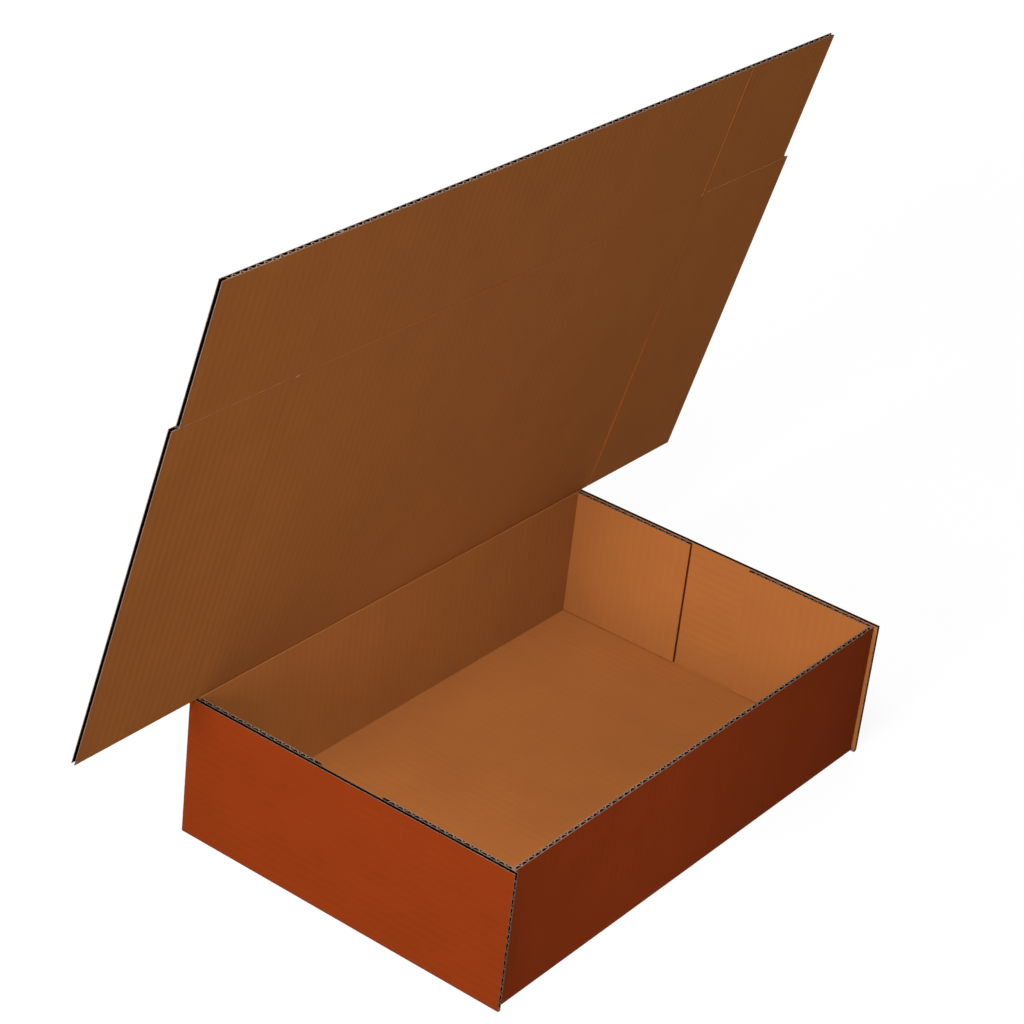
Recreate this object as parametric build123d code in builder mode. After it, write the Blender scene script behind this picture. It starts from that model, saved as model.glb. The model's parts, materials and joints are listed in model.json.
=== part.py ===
"""Open one-piece mailing box in corrugated board: a tray with a hinged lid.

The box is folded from a single blank. The tray's corner tabs are glued inside
its side walls. The lid hangs on the back wall, with two side flaps and a front
flap whose ears tuck in beside the tray when the box is shut.

Millimetres, +Z up, origin in the middle of the tray's underside. The front wall
faces -Y and the lid's hinge runs along X at the back.
"""
import os
from math import atan2, cos, radians, sin

from build123d import *

# Board: single-wall corrugated, B flute.
board = 3.0             # thickness over both liners
liner = 0.45            # one facing sheet
medium = 0.4            # the waved sheet between the liners
flute_pitch = 6.5
cut_groove = 2.2        # depth of the open flute along an edge cut with the grain
fold_radius = 2.2       # outside radius of a folded crease
fold_crush = 4.0        # board pressed flat beside a crease, where no flute shows

# Tray.
inside_length = 400.0   # along X, between the glued tabs
inside_depth = 250.0    # along Y, between the front and back walls
inside_height = 100.0
wall_overhang = 2.5     # side walls run past the front and back walls by this
front_drop = 0.5        # front wall and tabs end this far below the side walls
tab_length = 103.0      # corner tab, from the outer face of the wall it folds from
tab_foot = 0.6          # tabs stop this far above the floor

# Lid.
lid_angle = 104.0       # lid's rise from +Y in the pose shown; 180 is shut
lid_seat = 0.3          # shut lid above the side walls
hinge_gap = 0.2         # lid's rounded edge above the back wall
crease_gap = 0.25       # half of the line between two panels
front_play = 5.5        # front flap in front of the side walls, when shut
ear_play = 1.7          # ear beside the side wall, when shut
flap_play = 0.5         # side flap beside the ear, when shut
flap_foot = 0.8         # side flap above the table, when shut
front_foot = 1.3        # front flap above the table, when shut
ear_setback = 6.0       # ear ends this far inside the side flap's edge
slit = 0.6              # cut between an ear and the side flap below it

# Worked out from the sizes above.
half_length = inside_length / 2 + 2 * board       # outer face of a side wall
tab_face = half_length - board                    # outer face of a tab
half_depth = inside_depth / 2 + board + wall_overhang
wall_face = half_depth - wall_overhang            # outer face of front and back wall
height = inside_height + board
front_top = height - front_drop
hinge_y = wall_face - board / 2
hinge_z = height + lid_seat + board / 2
back_top = hinge_z - board / 2 - hinge_gap

lid_depth = hinge_y + half_depth + front_play     # hinge to front crease
ear_crease = half_length + ear_play
flap_crease = ear_crease + board + flap_play
flap_width = height + lid_seat - flap_foot
flap_edge = flap_crease + flap_width
front_height = height + lid_seat - front_foot
ear_edge = flap_edge - ear_setback

# Flutes: each void is a triangle between the liners and the waved sheet.
void_height = board - 2 * liner
flute_slope = atan2(2 * void_height, flute_pitch)
void_base = flute_pitch - 2 * medium / sin(flute_slope)

lid_up = Vector(0, cos(radians(lid_angle)), sin(radians(lid_angle)))
lid_section = Plane(origin=(0, hinge_y, hinge_z), x_dir=(1, 0, 0), z_dir=lid_up)


def cut_flutes(width, center, turn=0.0):
    """Cut a row of flute voids, width long, into the section being sketched."""
    count = max(2, int(width / flute_pitch))
    with Locations(Location((center[0], center[1], 0), (0, 0, turn))):
        with GridLocations(flute_pitch, 0, count, 1):
            Polygon(
                (-void_base / 2, -void_height / 2),
                (void_base / 2, -void_height / 2),
                (0, void_height / 2),
                align=None,
                mode=Mode.SUBTRACT,
            )
        with GridLocations(flute_pitch, 0, count - 1, 1):
            Polygon(
                (void_base / 2, void_height / 2),
                (-void_base / 2, void_height / 2),
                (0, -void_height / 2),
                align=None,
                mode=Mode.SUBTRACT,
            )


with BuildPart() as tray:
    # Bottom with the back wall and the foot of the front wall, as one folded profile.
    foot_top = board + tab_foot
    with BuildSketch(Plane.YZ.offset(-tab_face)):
        with BuildLine():
            Polyline(
                (-wall_face, fold_radius),
                (-wall_face, foot_top),
                (-wall_face + board, foot_top),
                (-wall_face + board, board),
                (wall_face - board, board),
                (wall_face - board, back_top),
                (wall_face, back_top),
                (wall_face, fold_radius),
            )
            RadiusArc((wall_face, fold_radius), (wall_face - fold_radius, 0), fold_radius)
            Line((wall_face - fold_radius, 0), (-wall_face + fold_radius, 0))
            RadiusArc((-wall_face + fold_radius, 0), (-wall_face, fold_radius), fold_radius)
        make_face()
    extrude(amount=2 * tab_face)

    # Front wall and its two tabs, one plan profile with the flutes upright.
    tab_end = -wall_face + tab_length
    tab_row = tab_length - board - 2 * cut_groove
    tab_row_y = -wall_face + board + tab_row / 2 + cut_groove / 2
    with BuildSketch(Plane.XY.offset(foot_top)) as front_plan:
        with BuildLine():
            Polyline(
                (0, -wall_face),
                (tab_face - fold_radius, -wall_face),
            )
            RadiusArc(
                (tab_face - fold_radius, -wall_face),
                (tab_face, -wall_face + fold_radius),
                -fold_radius,
            )
            Polyline(
                (tab_face, -wall_face + fold_radius),
                (tab_face, tab_end),
                (tab_face - board, tab_end),
                (tab_face - board, -wall_face + board),
                (0, -wall_face + board),
                (0, -wall_face),
            )
        make_face()
        with Locations((tab_face - board / 2, tab_end - cut_groove / 2)):
            Rectangle(void_height, cut_groove, mode=Mode.SUBTRACT)
        cut_flutes(tab_row, (tab_face - board / 2, tab_row_y), 90)
        mirror(about=Plane.YZ)
    back_plan = mirror(front_plan.sketch, about=Plane.XZ, mode=Mode.PRIVATE)
    extrude(back_plan, amount=front_top - foot_top)
    with BuildSketch(Plane.XY.offset(foot_top)):
        add(front_plan.sketch_local)
        cut_flutes(2 * (tab_face - board), (0, -wall_face + board / 2))
    extrude(amount=front_top - foot_top)

    # Side wall with its fold, glued to the tabs; the flutes run from end to end.
    wall_row = height - board - 2 * cut_groove
    with BuildSketch(Plane.XZ.offset(-half_depth)) as side_section:
        with BuildLine():
            Polyline(
                (half_length, fold_radius),
                (half_length, height),
                (tab_face, height),
                (tab_face, 0),
                (half_length - fold_radius, 0),
            )
            RadiusArc((half_length - fold_radius, 0), (half_length, fold_radius), -fold_radius)
        make_face()
        with Locations((half_length - board / 2, height - cut_groove / 2)):
            Rectangle(void_height, cut_groove, mode=Mode.SUBTRACT)
        cut_flutes(wall_row, (half_length - board / 2, board + cut_groove / 2 + wall_row / 2), 90)
        mirror(about=Plane.YZ)
    extrude(amount=2 * half_depth)

with BuildPart() as lid_panel:
    # Plain board: every edge is a crease. The hinge edge is rounded about the hinge line.
    panel_end = flap_crease - crease_gap
    with BuildSketch(Plane(origin=(-panel_end, hinge_y, hinge_z), x_dir=lid_up, z_dir=(1, 0, 0))):
        with Locations(((lid_depth - crease_gap) / 2, 0)):
            Rectangle(lid_depth - crease_gap, board)
        Circle(board / 2)
    extrude(amount=2 * panel_end)

with BuildPart() as lid_right_flap:
    # Both ends are cut across the flutes, so they run right through.
    flap_start = flap_crease + crease_gap
    with BuildSketch(lid_section) as flap_section:
        with Locations(((flap_start + flap_edge) / 2, 0)):
            Rectangle(flap_edge - flap_start, board)
        with Locations((flap_edge - cut_groove / 2, 0)):
            Rectangle(cut_groove, void_height, mode=Mode.SUBTRACT)
        flap_row = flap_edge - flap_start - fold_crush - cut_groove
        cut_flutes(flap_row, (flap_start + fold_crush + flap_row / 2, 0))
    extrude(amount=lid_depth - slit / 2)

with BuildPart() as lid_left_flap:
    mirror(lid_right_flap.part, about=Plane.YZ)

with BuildPart() as lid_front_flap:
    # Pressed flat along the crease, fluted from there to its free edge.
    front_half = ear_crease - crease_gap
    with BuildSketch(lid_section.offset(lid_depth + crease_gap)):
        Rectangle(2 * front_half, board)
    extrude(amount=fold_crush)
    with BuildSketch(lid_section.offset(lid_depth + crease_gap + fold_crush)):
        Rectangle(2 * front_half, board)
        cut_flutes(2 * (front_half - fold_crush), (0, 0))
    extrude(amount=front_height - crease_gap - fold_crush)

with BuildPart() as right_ear:
    ear_start = ear_crease + crease_gap
    with BuildSketch(lid_section.offset(lid_depth + slit / 2)):
        with Locations(((ear_start + ear_edge) / 2, 0)):
            Rectangle(ear_edge - ear_start, board)
        with Locations((ear_edge - cut_groove / 2, 0)):
            Rectangle(cut_groove, void_height, mode=Mode.SUBTRACT)
        ear_row = ear_edge - ear_start - fold_crush - cut_groove
        cut_flutes(ear_row, (ear_start + fold_crush + ear_row / 2, 0))
    extrude(amount=front_height - slit / 2)

with BuildPart() as left_ear:
    mirror(right_ear.part, about=Plane.YZ)

os.makedirs("parts", exist_ok=True)
for label, piece in {
    "tray": tray,
    "lid_panel": lid_panel,
    "lid_left_flap": lid_left_flap,
    "lid_right_flap": lid_right_flap,
    "lid_front_flap": lid_front_flap,
    "left_ear": left_ear,
    "right_ear": right_ear,
}.items():
    piece.part.label = label
    export_step(piece.part, f"parts/{label}.step")
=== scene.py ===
"""Looks of the open corrugated box: each panel is two liners and a waved sheet, and each crease is a strip of
its own.
"""
import json
import math

import bmesh
import bpy
import numpy as np
from mathutils import Matrix, Vector


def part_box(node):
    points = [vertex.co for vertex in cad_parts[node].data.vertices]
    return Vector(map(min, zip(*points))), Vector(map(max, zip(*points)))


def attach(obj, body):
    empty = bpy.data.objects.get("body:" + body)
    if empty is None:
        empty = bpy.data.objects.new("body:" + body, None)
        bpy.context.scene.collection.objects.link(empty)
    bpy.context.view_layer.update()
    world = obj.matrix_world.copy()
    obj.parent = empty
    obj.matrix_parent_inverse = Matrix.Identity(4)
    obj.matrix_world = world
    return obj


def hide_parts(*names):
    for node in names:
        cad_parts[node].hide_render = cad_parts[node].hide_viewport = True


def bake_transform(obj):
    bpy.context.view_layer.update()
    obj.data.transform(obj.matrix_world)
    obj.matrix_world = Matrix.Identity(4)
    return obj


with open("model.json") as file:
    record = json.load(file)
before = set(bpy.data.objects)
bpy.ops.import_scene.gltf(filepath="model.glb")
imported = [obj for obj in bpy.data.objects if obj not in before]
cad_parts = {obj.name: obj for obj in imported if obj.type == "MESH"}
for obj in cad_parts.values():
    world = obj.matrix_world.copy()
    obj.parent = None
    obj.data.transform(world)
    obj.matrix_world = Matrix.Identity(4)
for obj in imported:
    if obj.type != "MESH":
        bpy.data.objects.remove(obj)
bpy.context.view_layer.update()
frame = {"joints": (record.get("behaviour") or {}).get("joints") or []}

MM = 0.001

# Board: thickness and pitch as in the solids. Liner, waved sheet and grooves are set for this view.
BOARD = 3.0 * MM
PITCH = 6.5 * MM            # of the waved sheet
LINER = 0.48 * MM           # one facing sheet, with the fibres that a knife leaves standing
MEDIUM = 0.3 * MM           # the waved sheet
SAG = 0.05 * MM             # a liner sinks this far between two wave crests
LIP = 0.2 * MM              # printed paper that the knife drags over a tab's edge
CUT_GROOVE = 4.0 * MM       # the waved sheet ends this far inside an edge cut with the grain
CREST_GROOVE = 0.6 * MM     # the same where the knife meets a wave near its crest
STEPS = 12                  # mesh columns for each wave
FEWEST_STEPS = 4            # mesh columns of the narrowest panel
LOW_POWER, HIGH_POWER = 12, 1.5     # shape of the wave: narrow crests below, broad ones above
PANEL_WAVES = 100           # waves between the board coordinates of two panels, so that their fibres differ

# Folds and creases.
FOLD_RADIUS = 1.3 * MM
CREASE_HALF = 1.6 * MM      # half of the strip that bends
HINGE_HALF = 1.7 * MM       # the same at the lid's hinge
SCORE_DEPTH = 0.45 * MM     # pressed line on the inside
FAINT_DEPTH = 0.14 * MM     # the same where the skin stays closed
LEFT_DEPTH = 0.07 * MM      # and on the left, where it hardly shows
SCORE_WIDTH = 0.5 * MM
BEAD = 0.22 * MM            # what it raises on the outside
CREASE_STEPS, HINGE_STEPS = 16, 12  # mesh columns of the strips that bend
FOLD_TURNS = range(0, 91, 15)       # degrees round the outside of a fold
BURR_SLOPE = 0.4            # height against width of the fibres that the knife raises along a slit
BURR_CREST = 0.3            # their highest place, as a share of that width
LEFT_BURR, RIGHT_BURR = 0.2 * MM, 0.4 * MM
SHARP = math.radians(35)    # edges bent more than this stay sharp
# Where a crease's skin opens, as two places from its middle.
CLOSED = (0.0, 0.0)
FRONT_TORN = (-0.25 * MM, 0.05 * MM)
FLAP_TORN = (-1.65 * MM, 1.25 * MM)
EAR_TORN = (-0.45 * MM, 0.65 * MM)

# Tray, where the frame doesn't give it.
LID_SEAT = 0.3 * MM
FRONT_DROP = 0.5 * MM
TAB_LENGTH = 103.0 * MM
TAB_FOOT = 0.6 * MM

# Lid.
SLIT = 0.25 * MM
JOIN = 0.1 * MM             # between a panel's corner and the crease beside it

# Places that the frame gives.
X, Y, Z = Vector((1, 0, 0)), Vector((0, 1, 0)), Vector((0, 0, 1))
joint = {j["name"]: j for j in frame["joints"]}
hinge = Vector(joint["lid_hinge"]["pos_m"])
up = Vector(joint["left_flap_fold"]["axis"])        # from the hinge to the lid's front edge
out = X.cross(up) * -1                              # out of the lid's printed face
tray_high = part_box("tray")[1]
half_length, half_depth = tray_high.x, tray_high.y
tab_face = half_length - BOARD
wall_face = hinge.y + BOARD / 2
wall_top = hinge.z - BOARD / 2 - LID_SEAT
front_top = wall_top - FRONT_DROP
flap_crease = joint["right_flap_fold"]["pos_m"][0]
ear_crease = joint["right_ear_fold"]["pos_m"][0]
flap_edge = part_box("lid_right_flap")[1].x
ear_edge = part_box("right_ear")[1].x
lid_depth = (Vector(joint["front_flap_fold"]["pos_m"]) - hinge).dot(up)
lid_end = (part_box("lid_front_flap")[1].z - hinge.z - BOARD / 2 * out.z) / up.z

# The waved sheet's slot carries near-black paper, painted shade of the hollows inside the board.
KRAFT, PRINT, CUT, SHADED_FLUTE, SCORE, FRESH = range(6)   # material of a face


def spread(half, steps):
    """Places across a strip, from edge to edge."""
    middle = steps // 2
    return [half * k / middle for k in range(-middle, middle + 1)]


class Sheet:
    """The mesh of one piece: points, faces, and each face's material and board coordinates."""

    def __init__(self):
        self.points, self.faces, self.slots, self.coords = [], [], [], []
        self.panels = 0

    def loop(self, numbers, slot, coords):
        self.faces.append(numbers)
        self.slots.append(slot)
        self.coords.append(coords)

    def strip(self, low, high, sweep, low_slots, high_slot, side_slot, cap_slot, u):
        """A thin body between two lines of points, swept along one vector. u runs along the lines."""
        first, count, length = len(self.points), len(low), sweep.length
        for shift in (Vector(), sweep):
            for line in (low, high):
                self.points.extend(p + shift for p in line)
        l0, h0, l1, h1 = (first + k * count for k in range(4))
        for i in range(count - 1):
            a, b = u[i], u[i + 1]
            flat = ((a, 0), (b, 0), (b, length), (a, length))
            end = ((a, 0), (b, 0), (b, BOARD), (a, BOARD))
            low_slot = low_slots[i] if isinstance(low_slots, list) else low_slots
            self.loop((l0 + i, l0 + i + 1, l1 + i + 1, l1 + i), low_slot, flat)
            self.loop((h0 + i, h0 + i + 1, h1 + i + 1, h1 + i), high_slot, flat)
            for l, h in ((l0, h0), (l1, h1)):
                self.loop((l + i, l + i + 1, h + i + 1, h + i), cap_slot, end)
        for i in (0, count - 1):
            side = ((u[i], 0), (u[i], length), (u[i] + BOARD, length), (u[i] + BOARD, 0))
            self.loop((l0 + i, l1 + i, h1 + i, h0 + i), side_slot, side)

    def panel(self, corner, across, along, outward, width, length, cut_low=0.0, cut_high=0.0):
        """A flat panel from a corner of its inner face; its flutes run along.

        An edge that is cut with the grain has a groove so deep.
        """
        self.panels += 1
        columns = max(FEWEST_STEPS, round(width / PITCH * STEPS))
        a = np.linspace(0, width, columns + 1)
        wave = np.cos(2 * math.pi * (a - width / 2) / PITCH)
        u = a - width / 2 + PANEL_WAVES * self.panels * PITCH

        def line(places, heights):
            return [corner + across * p + outward * h for p, h in zip(places, heights)]

        sweep = along * length
        flat = np.ones_like(a)
        self.strip(line(a, SAG * (1 + wave) / 2), line(a, LINER * flat), sweep, KRAFT, SHADED_FLUTE, CUT, CUT, u)
        self.strip(line(a, (BOARD - LINER) * flat), line(a, BOARD - SAG * (1 - wave) / 2), sweep,
                   SHADED_FLUTE, PRINT, CUT, CUT, u)
        inside = (a >= cut_low) & (a <= width - cut_high)
        a, u = a[inside], u[inside]
        rise, room = (1 + wave[inside]) / 2, BOARD - 2 * LINER - MEDIUM
        under, over = LINER + room * rise ** LOW_POWER, LINER + MEDIUM + room * rise ** HIGH_POWER
        self.strip(line(a, under), line(a, over), sweep, SHADED_FLUTE, SHADED_FLUTE, SHADED_FLUTE, CUT, u)

    def fold(self, corner, out_a, out_b, sweep):
        """A right-angle fold that joins two panels of the tray, rounded outside."""
        first, flat = len(self.points), BOARD - FOLD_RADIUS
        turn = [math.radians(d) for d in FOLD_TURNS]
        arc = [(flat + FOLD_RADIUS * math.cos(d), flat + FOLD_RADIUS * math.sin(d)) for d in turn]
        outline = [(0, 0), (BOARD, 0), *arc, (0, BOARD)]
        count = len(outline)
        for shift in (Vector(), sweep):
            self.points.extend(corner + out_a * p + out_b * q + shift for p, q in outline)
        for i in range(count):
            j = (i + 1) % count
            slot = CUT if 0 in (i, j) else PRINT
            side = ((i * MM, 0), (i * MM + MM, 0), (i * MM + MM, sweep.length), (i * MM, sweep.length))
            self.loop((first + i, first + j, first + count + j, first + count + i), slot, side)
        for start in (first, first + count):
            self.loop(tuple(range(start, start + count)), CUT, outline)

    def crease(self, inner, outer, sweep, u, depth, torn=CLOSED):
        """The strip that bends between two panels, with the pressed line inside and its bead outside.

        The paper's skin opens between the two torn places and shows fresh fibre there; further along the
        crease that band sinks into painted shade, darker than the kraft, which cancels the light on the
        groove's lit side.
        """
        press = [math.exp(-((v / SCORE_WIDTH) ** 2)) for v in u]
        low = [p + (q - p).normalized() * depth * k for p, q, k in zip(inner, outer, press)]
        high = [q + (q - p).normalized() * BEAD * k for p, q, k in zip(inner, outer, press)]
        slots = [SCORE if torn[0] <= a and b <= torn[1] else KRAFT for a, b in zip(u, u[1:])]
        self.strip(low, high, sweep, slots, PRINT, SHADED_FLUTE, CUT, u)

    def flat_crease(self, middle, across, outward, sweep, depth, torn):
        """A crease that lies flat at rest; middle is on its inner face."""
        u = spread(CREASE_HALF, CREASE_STEPS)
        inner = [middle + across * v for v in u]
        self.crease(inner, [p + outward * BOARD for p in inner], sweep, u, depth, torn)

    def burr(self, corner, back, outward, sweep, width):
        """The low ridge of fibres along a knife cut, from the cut's corner back over the inner face."""
        crest, height = width * BURR_CREST, width * BURR_SLOPE
        ridge = [corner, corner - outward * height + back * crest, corner + back * width]
        sunk = [p + outward * height for p in (corner, corner + back * crest, ridge[2])]
        self.strip(ridge, sunk, sweep, FRESH, SHADED_FLUTE, CUT, CUT, [0, crest, width])

    def make(self, name, materials):
        """The finished object, with its faces turned out and its cut edges sharp."""
        mesh = bpy.data.meshes.new(name)
        mesh.from_pydata(self.points, [], self.faces)
        for m in materials:
            mesh.materials.append(m)
        mesh.polygons.foreach_set("material_index", self.slots)
        layer = mesh.uv_layers.new(name="board")
        layer.data.foreach_set("uv", [c for face in self.coords for pair in face for c in pair])
        bm = bmesh.new()
        bm.from_mesh(mesh)
        bmesh.ops.recalc_face_normals(bm, faces=bm.faces)
        bm.to_mesh(mesh)
        bm.free()
        mesh.polygons.foreach_set("use_smooth", [True] * len(mesh.polygons))
        mesh.set_sharp_from_angle(angle=SHARP)
        piece = bpy.data.objects.new(name, mesh)
        bpy.context.scene.collection.objects.link(piece)
        return piece


class Nodes:
    """Short calls for building one material's nodes."""

    def __init__(self, name):
        self.material = bpy.data.materials.new(name)
        self.material.use_nodes = True
        self.tree = self.material.node_tree
        self.shader = self.tree.nodes["Principled BSDF"]

    def feed(self, socket, value):
        """Link another node's output to a socket, or set the socket to a plain value."""
        if isinstance(value, bpy.types.NodeSocket):
            self.tree.links.new(value, socket)
        else:
            socket.default_value = value

    def add(self, kind, inputs=(), **settings):
        node = self.tree.nodes.new(kind)
        for key, value in settings.items():
            setattr(node, key, value)
        for key, value in dict(inputs).items():
            self.feed(node.inputs[key], value)
        return node

    def board(self, across, along):
        """Board coordinates with their own scale across and along the flutes, in features per metre."""
        uv = self.add("ShaderNodeUVMap", uv_map="board").outputs["UV"]
        return self.add("ShaderNodeMapping", {"Vector": uv, "Scale": (across, along, 1)}).outputs["Vector"]

    def noise(self, across, along, detail=3.0, rough=0.55):
        place = self.board(across, along)
        return self.add("ShaderNodeTexNoise", {"Vector": place, "Scale": 1.0, "Detail": detail,
                                               "Roughness": rough}).outputs["Fac"]

    def band(self, value, low, high, to_low=0.0, to_high=1.0):
        return self.add("ShaderNodeMapRange", {"Value": value, "From Min": low, "From Max": high,
                                               "To Min": to_low, "To Max": to_high}).outputs["Result"]

    def mix(self, factor, a, b, blend="MIX"):
        """Two colours mixed. The mix node's sockets for colours have these numbers."""
        node = self.add("ShaderNodeMix", {0: factor, 6: a, 7: b}, data_type="RGBA", blend_type=blend)
        return node.outputs[2]

    def math(self, operation, a, b=0.0):
        return self.add("ShaderNodeMath", {0: a, 1: b}, operation=operation).outputs[0]

    def set(self, **inputs):
        for key, value in inputs.items():
            self.feed(self.shader.inputs[key.replace("_", " ")], value)
        return self.material


def linear(red, green, blue):
    """An sRGB colour of 0 to 255, as the linear colour that shaders take."""
    def one(v):
        v /= 255
        return v / 12.92 if v <= 0.04045 else ((v + 0.055) / 1.055) ** 2.4
    return (one(red), one(green), one(blue), 1.0)


# Paper: features for each metre of board, across and along the flutes.
CLOUD, FIBRE, SPECK, LINE_BREAKS = (28, 22), (240, 1700), (520, 900), (0, 30)
# Painted shade: between these places along a crease its line sinks into a colour darker than the kraft, which
# cancels the light on the pressed groove's lit side.
FADE_FROM, FADE_TO = 0.09, 0.18     # metres along a crease, where its colour sinks
BUMP_HEIGHT = 0.2 * MM
GLOSS = 0.005                       # specular level


def paper(name, dark, light, fleck, fleck_share, rough, bump, flute_tint, shade_fade=None):
    """Uncoated paper: cloudy tone, fibres across the flutes, stray flecks and the faint lines of the flutes.

    Given a colour to sink into, the tone sinks into it further along the board, in noisy breaks; that colour
    is painted shade, darker than the paper, which cancels the light on a crease's pressed groove.
    """
    n = Nodes(name)
    cloud = n.band(n.noise(*CLOUD, 4.0), 0.3, 0.7)
    tone = n.mix(cloud, dark, light)
    # Painted shade: along the board the tone gives way, in noisy breaks, to a colour darker than the paper,
    # which cancels the light on a crease's lit side.
    if shade_fade:
        uv = n.add("ShaderNodeUVMap", uv_map="board").outputs["UV"]
        along = n.add("ShaderNodeSeparateXYZ", {"Vector": uv}).outputs["Y"]
        near = n.band(along, FADE_FROM, FADE_TO, 1.0, 0.0)
        line_share = n.math("MULTIPLY", near, n.band(n.noise(*LINE_BREAKS, 3.0), 0.35, 0.6, 0.35, 1.0))
        tone = n.mix(line_share, shade_fade, tone)
    fibre = n.noise(*FIBRE, 4.0, 0.7)
    tone = n.mix(n.band(fibre, 0.35, 0.7, 0.0, 0.35), tone, n.mix(0.5, tone, light))
    specks = n.band(n.noise(*SPECK, 1.0), 0.70, 0.76, 0.0, fleck_share)
    tone = n.mix(specks, tone, fleck)
    uv = n.add("ShaderNodeUVMap", uv_map="board").outputs["UV"]
    across = n.add("ShaderNodeSeparateXYZ", {"Vector": uv}).outputs["X"]
    lines = n.math("COSINE", n.math("MULTIPLY", across, 2 * math.pi / PITCH))
    shade = n.band(lines, -1.0, 1.0, 1.0 - flute_tint, 1.0)
    grey = n.add("ShaderNodeCombineColor", {"Red": shade, "Green": shade, "Blue": shade}).outputs["Color"]
    tone = n.mix(1.0, tone, grey, "MULTIPLY")
    relief = n.add("ShaderNodeBump", {"Height": fibre, "Strength": bump,
                                      "Distance": BUMP_HEIGHT}).outputs["Normal"]
    return n.set(Base_Color=tone, Roughness=n.band(fibre, 0.3, 0.7, rough - 0.06, rough + 0.05),
                 Specular_IOR_Level=GLOSS, Normal=relief)


materials = [
    paper("kraft_inside", linear(115, 67, 32), linear(119, 70, 33), linear(80, 45, 20),
          fleck_share=0.5, rough=0.9, bump=0.35, flute_tint=0.03),
    paper("print_outside", linear(84, 29, 6), linear(88, 31, 7), linear(63, 21, 6),
          fleck_share=0.3, rough=0.72, bump=0.25, flute_tint=0.03),
    paper("cut_paper", linear(78, 63, 53), linear(91, 74, 64), linear(54, 42, 34),
          fleck_share=0.5, rough=0.95, bump=0.5, flute_tint=0.0),
    # Near black: painted shade of the dark hollows inside the board, on the waved sheet and the liners' faces
    # towards it; the sheet's own paper is greyish brown.
    paper("flute_paper", linear(7, 5, 4), linear(11, 8, 6), linear(5, 4, 3),
          fleck_share=0.4, rough=0.95, bump=0.4, flute_tint=0.0),
    # The line of a torn crease; the colour it sinks into further along is painted shade, darker than the
    # kraft, to cancel the light on the pressed groove.
    paper("score_line", linear(140, 69, 27), linear(154, 78, 33), linear(118, 62, 28),
          fleck_share=0.5, rough=0.85, bump=0.35, flute_tint=0.0, shade_fade=linear(110, 64, 30)),
    paper("fresh_fibre", linear(128, 88, 58), linear(146, 102, 69), linear(104, 70, 46),
          fleck_share=0.5, rough=0.95, bump=0.5, flute_tint=0.0),
]

# Tray: the bottom, four walls and four glued tabs, folded from one sheet.
tray = Sheet()
inner_wall, inner_tab = wall_face - BOARD, tab_face - BOARD
tab_base = BOARD + TAB_FOOT
tray.panel(Vector((-tab_face, -inner_wall, BOARD)), X, Y, -Z, 2 * tab_face, 2 * inner_wall)
tray.panel(Vector((-inner_tab, -inner_wall, BOARD)), X, Z, -Y, 2 * inner_tab, front_top - BOARD)
tray.panel(Vector((-inner_tab, inner_wall, BOARD)), X, Z, Y, 2 * inner_tab, hinge.z - HINGE_HALF - BOARD)
for end in (-1, 1):
    tray.fold(Vector((-tab_face, end * inner_wall, BOARD)), -Z, Y * end, X * 2 * tab_face)
for side in (-1, 1):
    wall_foot = Vector((side * tab_face, -half_depth, BOARD))
    tray.panel(wall_foot, Z, Y, X * side, wall_top - BOARD, 2 * half_depth, cut_high=CUT_GROOVE)
    tray.fold(wall_foot, -Z, X * side, Y * 2 * half_depth)
    for end in (-1, 1):
        tab_corner = Vector((side * inner_tab, end * inner_wall, tab_base))
        tray.panel(tab_corner, Y * -end, Z, X * side, TAB_LENGTH - BOARD, front_top - tab_base,
                   cut_high=CUT_GROOVE)
        tray.fold(tab_corner, Y * end, X * side, Z * (front_top - tab_base))
        tab_end = tab_corner + X * side * LINER - Y * end * (TAB_LENGTH - BOARD)
        lip = [tab_end, tab_end + X * side * (BOARD - 2 * LINER)]
        tray.strip([p + Y * end * LIP for p in lip], lip, Z * (front_top - tab_base), SHADED_FLUTE, PRINT, CUT, CUT,
                   [0, BOARD - 2 * LINER])
tray_piece = tray.make("tray_board", materials)
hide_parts("tray")
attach(tray_piece, "tray")


def lid_place(x, s):
    """A point of the lid's inner face: across, and from the hinge towards the front edge."""
    return hinge + X * x + up * s - out * (BOARD / 2)


def lid_board(name, body, x_low, x_high, s_low, s_high, cut_low=0.0, cut_high=0.0, burr=0.0,
              corners=(), feet=()):
    """A panel of the lid. Corners and feet fill it up to the creases at its far and near edge."""
    sheet = Sheet()
    sheet.panels = len(bpy.data.meshes)

    def block(a, b, s, reach, inside, cap):
        rim = [lid_place(x, s) for x in (a, (a + b) / 2, b)]
        sheet.strip(rim, [p + out * BOARD for p in rim], up * reach, inside, PRINT, CUT, cap,
                    [0, (b - a) / 2, b - a])

    sheet.panel(lid_place(x_low, s_low), X, up, out, x_high - x_low, s_high - s_low, cut_low, cut_high)
    if burr:
        sheet.burr(lid_place(x_low, s_high), -up, out, X * (x_high - x_low), burr)
    for a, b in corners:
        block(a, b, s_high, CREASE_HALF - SLIT, FRESH, FRESH)
    for a, b in feet:
        block(a, b, 0.0, s_low, KRAFT, CUT)
    piece = sheet.make(name, materials)
    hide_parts(body)
    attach(piece, body)


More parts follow.
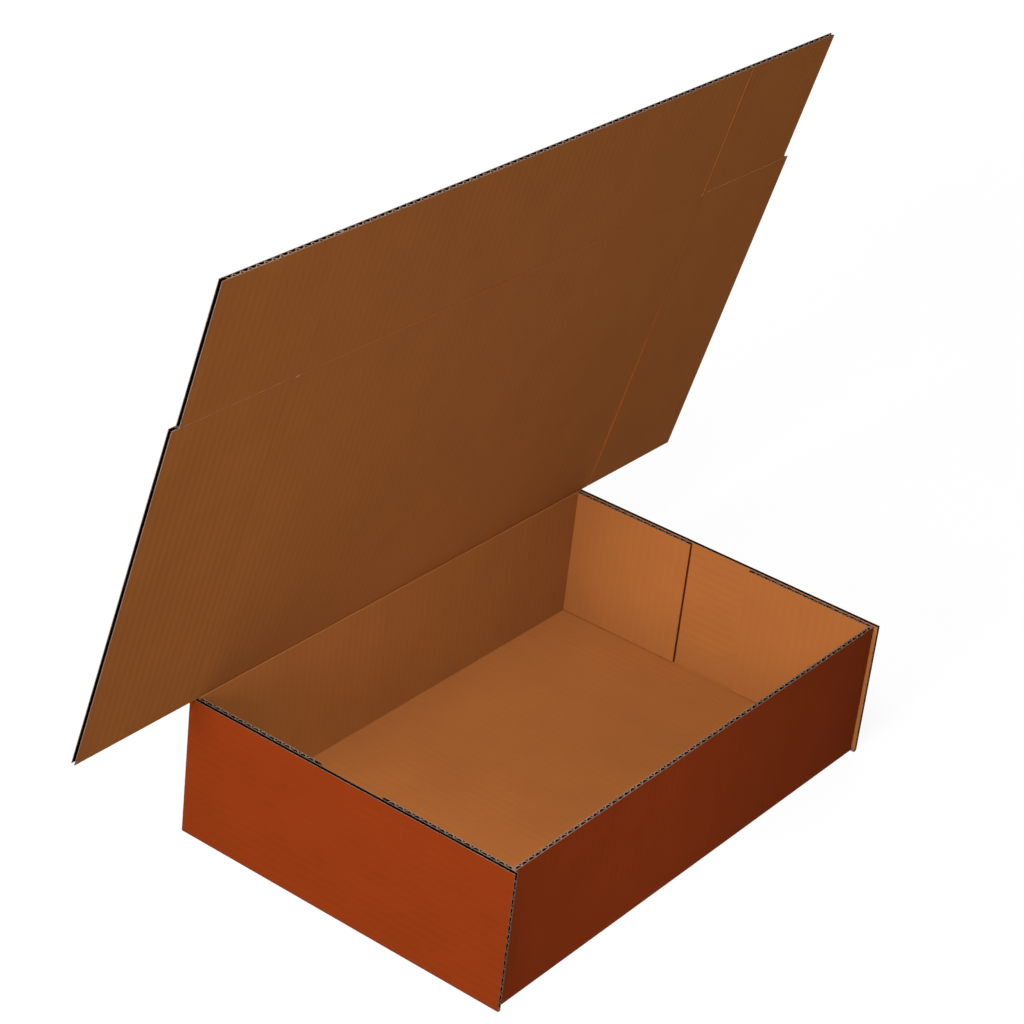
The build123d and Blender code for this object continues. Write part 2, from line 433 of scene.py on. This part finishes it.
panel_half = flap_crease - CREASE_HALF
front_half = ear_crease - CREASE_HALF
lid_board("lid_panel_board", "lid_panel", -panel_half, panel_half, HINGE_HALF, lid_depth - CREASE_HALF,
          corners=((-panel_half, -front_half - JOIN), (front_half + JOIN, panel_half)),
          feet=((-panel_half, -tab_face - JOIN), (tab_face + JOIN, panel_half)))
lid_board("lid_left_flap_board", "lid_left_flap", -flap_edge, -flap_crease - CREASE_HALF,
          0.0, lid_depth - SLIT / 2, cut_low=CUT_GROOVE, burr=LEFT_BURR)
lid_board("lid_right_flap_board", "lid_right_flap", flap_crease + CREASE_HALF, flap_edge,
          0.0, lid_depth - SLIT / 2, cut_high=CREST_GROOVE, burr=RIGHT_BURR)
lid_board("lid_front_flap_board", "lid_front_flap", -front_half, front_half, lid_depth + CREASE_HALF, lid_end)
lid_board("left_ear_board", "left_ear", -ear_edge, -ear_crease - CREASE_HALF, lid_depth + SLIT / 2, lid_end,
          cut_low=CUT_GROOVE)
lid_board("right_ear_board", "right_ear", ear_crease + CREASE_HALF, ear_edge, lid_depth + SLIT / 2, lid_end,
          cut_high=CREST_GROOVE)


def lid_crease(name, middle, across, sweep, depth, torn):
    """A crease between two panels of the lid, built flat as a piece of its own."""
    sheet = Sheet()
    sheet.flat_crease(middle, across, out, sweep, depth, torn)
    piece = sheet.make(name, materials)
    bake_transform(piece)


lid_crease("front_flap_crease", lid_place(-front_half, lid_depth), up,
           X * 2 * front_half, FAINT_DEPTH, FRONT_TORN)
for side, word, depth, flap_torn, ear_torn in ((-1, "left", LEFT_DEPTH, CLOSED, CLOSED),
                                               (1, "right", SCORE_DEPTH, FLAP_TORN, EAR_TORN)):
    lid_crease(f"{word}_flap_crease", lid_place(side * flap_crease, 0.0),
               X * side, up * (lid_depth - SLIT / 2), depth, flap_torn)
    lid_crease(f"{word}_ear_crease",
               lid_place(side * ear_crease, lid_depth + SLIT / 2),
               X * side, up * (lid_end - lid_depth - SLIT / 2), depth, ear_torn)

# The lid's hinge crease starts upright on the back wall and ends in the lid's lean.
bend = Sheet()
u = spread(HINGE_HALF, HINGE_STEPS)
lean = Y.angle(out)
inner, outer = [], []
for v in u:
    share = (v / HINGE_HALF + 1) / 2
    facing = Matrix.Rotation(lean * share, 3, "X") @ Y
    spine = hinge - X * tab_face + (up if v > 0 else Z) * v
    inner.append(spine - facing * BOARD / 2)
    outer.append(spine + facing * BOARD / 2)
bend.crease(inner, outer, X * 2 * tab_face, u, SCORE_DEPTH)
bend_piece = bend.make("lid_hinge_crease", materials)
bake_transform(bend_piece)

# Floor, light and camera.
WHITE = (1, 1, 1, 1)
FLOOR_HALF = 12.0
FLOOR_DROP = 0.2 * MM       # keeps the floor clear of the tray's underside
FLOOR_TONE, FLOOR_GLOW = (0.05, 0.05, 0.05, 1), 0.90
floor_mesh = bpy.data.meshes.new("floor")
floor_mesh.from_pydata([(x, y, 0) for x, y in ((-1, -1), (1, -1), (1, 1), (-1, 1))], [], [(0, 1, 2, 3)])
floor = bpy.data.objects.new("floor", floor_mesh)
floor.scale = (FLOOR_HALF, FLOOR_HALF, 1)
floor.location.z = -FLOOR_DROP
bpy.context.scene.collection.objects.link(floor)
pale = Nodes("pale_floor")
floor_mesh.materials.append(pale.set(Base_Color=FLOOR_TONE, Roughness=1.0, Specular_IOR_Level=0.0,
                                     Emission_Color=WHITE, Emission_Strength=FLOOR_GLOW))

# The sky is bright at the horizon and below it, and dim overhead.
SKY_GLOW = {"From Min": 0.02, "From Max": 0.16, "To Min": 0.60, "To Max": 0.04}
world = bpy.data.worlds.new("studio")
bpy.context.scene.world = world
world.use_nodes = True
sky = world.node_tree
way = sky.nodes.new("ShaderNodeTexCoord").outputs["Generated"]
rise = sky.nodes.new("ShaderNodeSeparateXYZ")
glow = sky.nodes.new("ShaderNodeMapRange")
for key, value in SKY_GLOW.items():
    glow.inputs[key].default_value = value
sky.links.new(way, rise.inputs[0])
sky.links.new(rise.outputs["Z"], glow.inputs["Value"])
sky.links.new(glow.outputs[0], sky.nodes["Background"].inputs["Strength"])
sky.nodes["Background"].inputs["Color"].default_value = WHITE


def soft_light(name, place, aim, size, power, cone=0.0):
    """A round soft light of so many watts, or a spot with a soft rim where a cone is given, in degrees."""
    lamp = bpy.data.lights.new(name, "SPOT" if cone else "AREA")
    lamp.energy = power
    if cone:
        lamp.spot_size, lamp.spot_blend, lamp.shadow_soft_size = math.radians(cone), 1.0, size
    else:
        lamp.shape, lamp.size = "DISK", size
    light = bpy.data.objects.new(name, lamp)
    light.visible_camera = False
    light.location = place
    light.rotation_euler = (Vector(aim) - Vector(place)).to_track_quat("-Z", "Y").to_euler()
    bpy.context.scene.collection.objects.link(light)


soft_light("side_light", (-2.8, -0.2, 0.95), (0, 0, 0.1), 1.2, 159)
soft_light("top_light", (-0.7, -0.35, 1.5), (0, 0, 0.1), 0.6, 44)
soft_light("lid_spot", (0.1, -1.4, 0.8), (0.05, 0.13, 0.1), 0.15, 29, cone=22)
soft_light("hinge_spot", (-0.9, -1.1, 1.0), (-0.12, 0.13, 0.06), 0.15, 67, cone=18)
soft_light("front_spot", (0.1, -2.0, 0.05), (0.05, -0.13, 0.0), 0.06, 45, cone=13)
soft_light("floor_spot", (-0.2, -0.9, 1.3), (-0.15, -0.1, 0.0), 0.15, 194, cone=10)
soft_light("back_fill", (0.5, 2.6, 1.5), (0, 0, 0.2), 1.6, 85)
soft_light("right_fill", (2.5, 1.0, 1.2), (0, 0, 0.1), 1.6, 55)

CAMERA_PLACE = Vector((-1.4226, -0.9332, 1.1500))
CAMERA_AZIMUTH, CAMERA_ELEVATION, CAMERA_ROLL = (math.radians(d) for d in (-55.52, 28.91, 6.81))
FOCAL_PIXELS, FRAME_PIXELS = 3025.3, 1024
SENSOR_WIDTH = 36           # in mm
camera = bpy.data.cameras.new("camera")
camera.sensor_width = SENSOR_WIDTH
camera.lens = SENSOR_WIDTH * FOCAL_PIXELS / FRAME_PIXELS
view = bpy.data.objects.new("camera", camera)
view.location = CAMERA_PLACE
look = Vector((-math.sin(CAMERA_AZIMUTH) * math.cos(CAMERA_ELEVATION),
               math.cos(CAMERA_AZIMUTH) * math.cos(CAMERA_ELEVATION), -math.sin(CAMERA_ELEVATION)))
view.rotation_mode = "QUATERNION"
roll = Matrix.Rotation(CAMERA_ROLL, 3, "Z").to_quaternion()
view.rotation_quaternion = look.to_track_quat("-Z", "Y") @ roll
bpy.context.scene.collection.objects.link(view)
bpy.context.scene.camera = view
bpy.context.scene.view_settings.view_transform = "Standard"
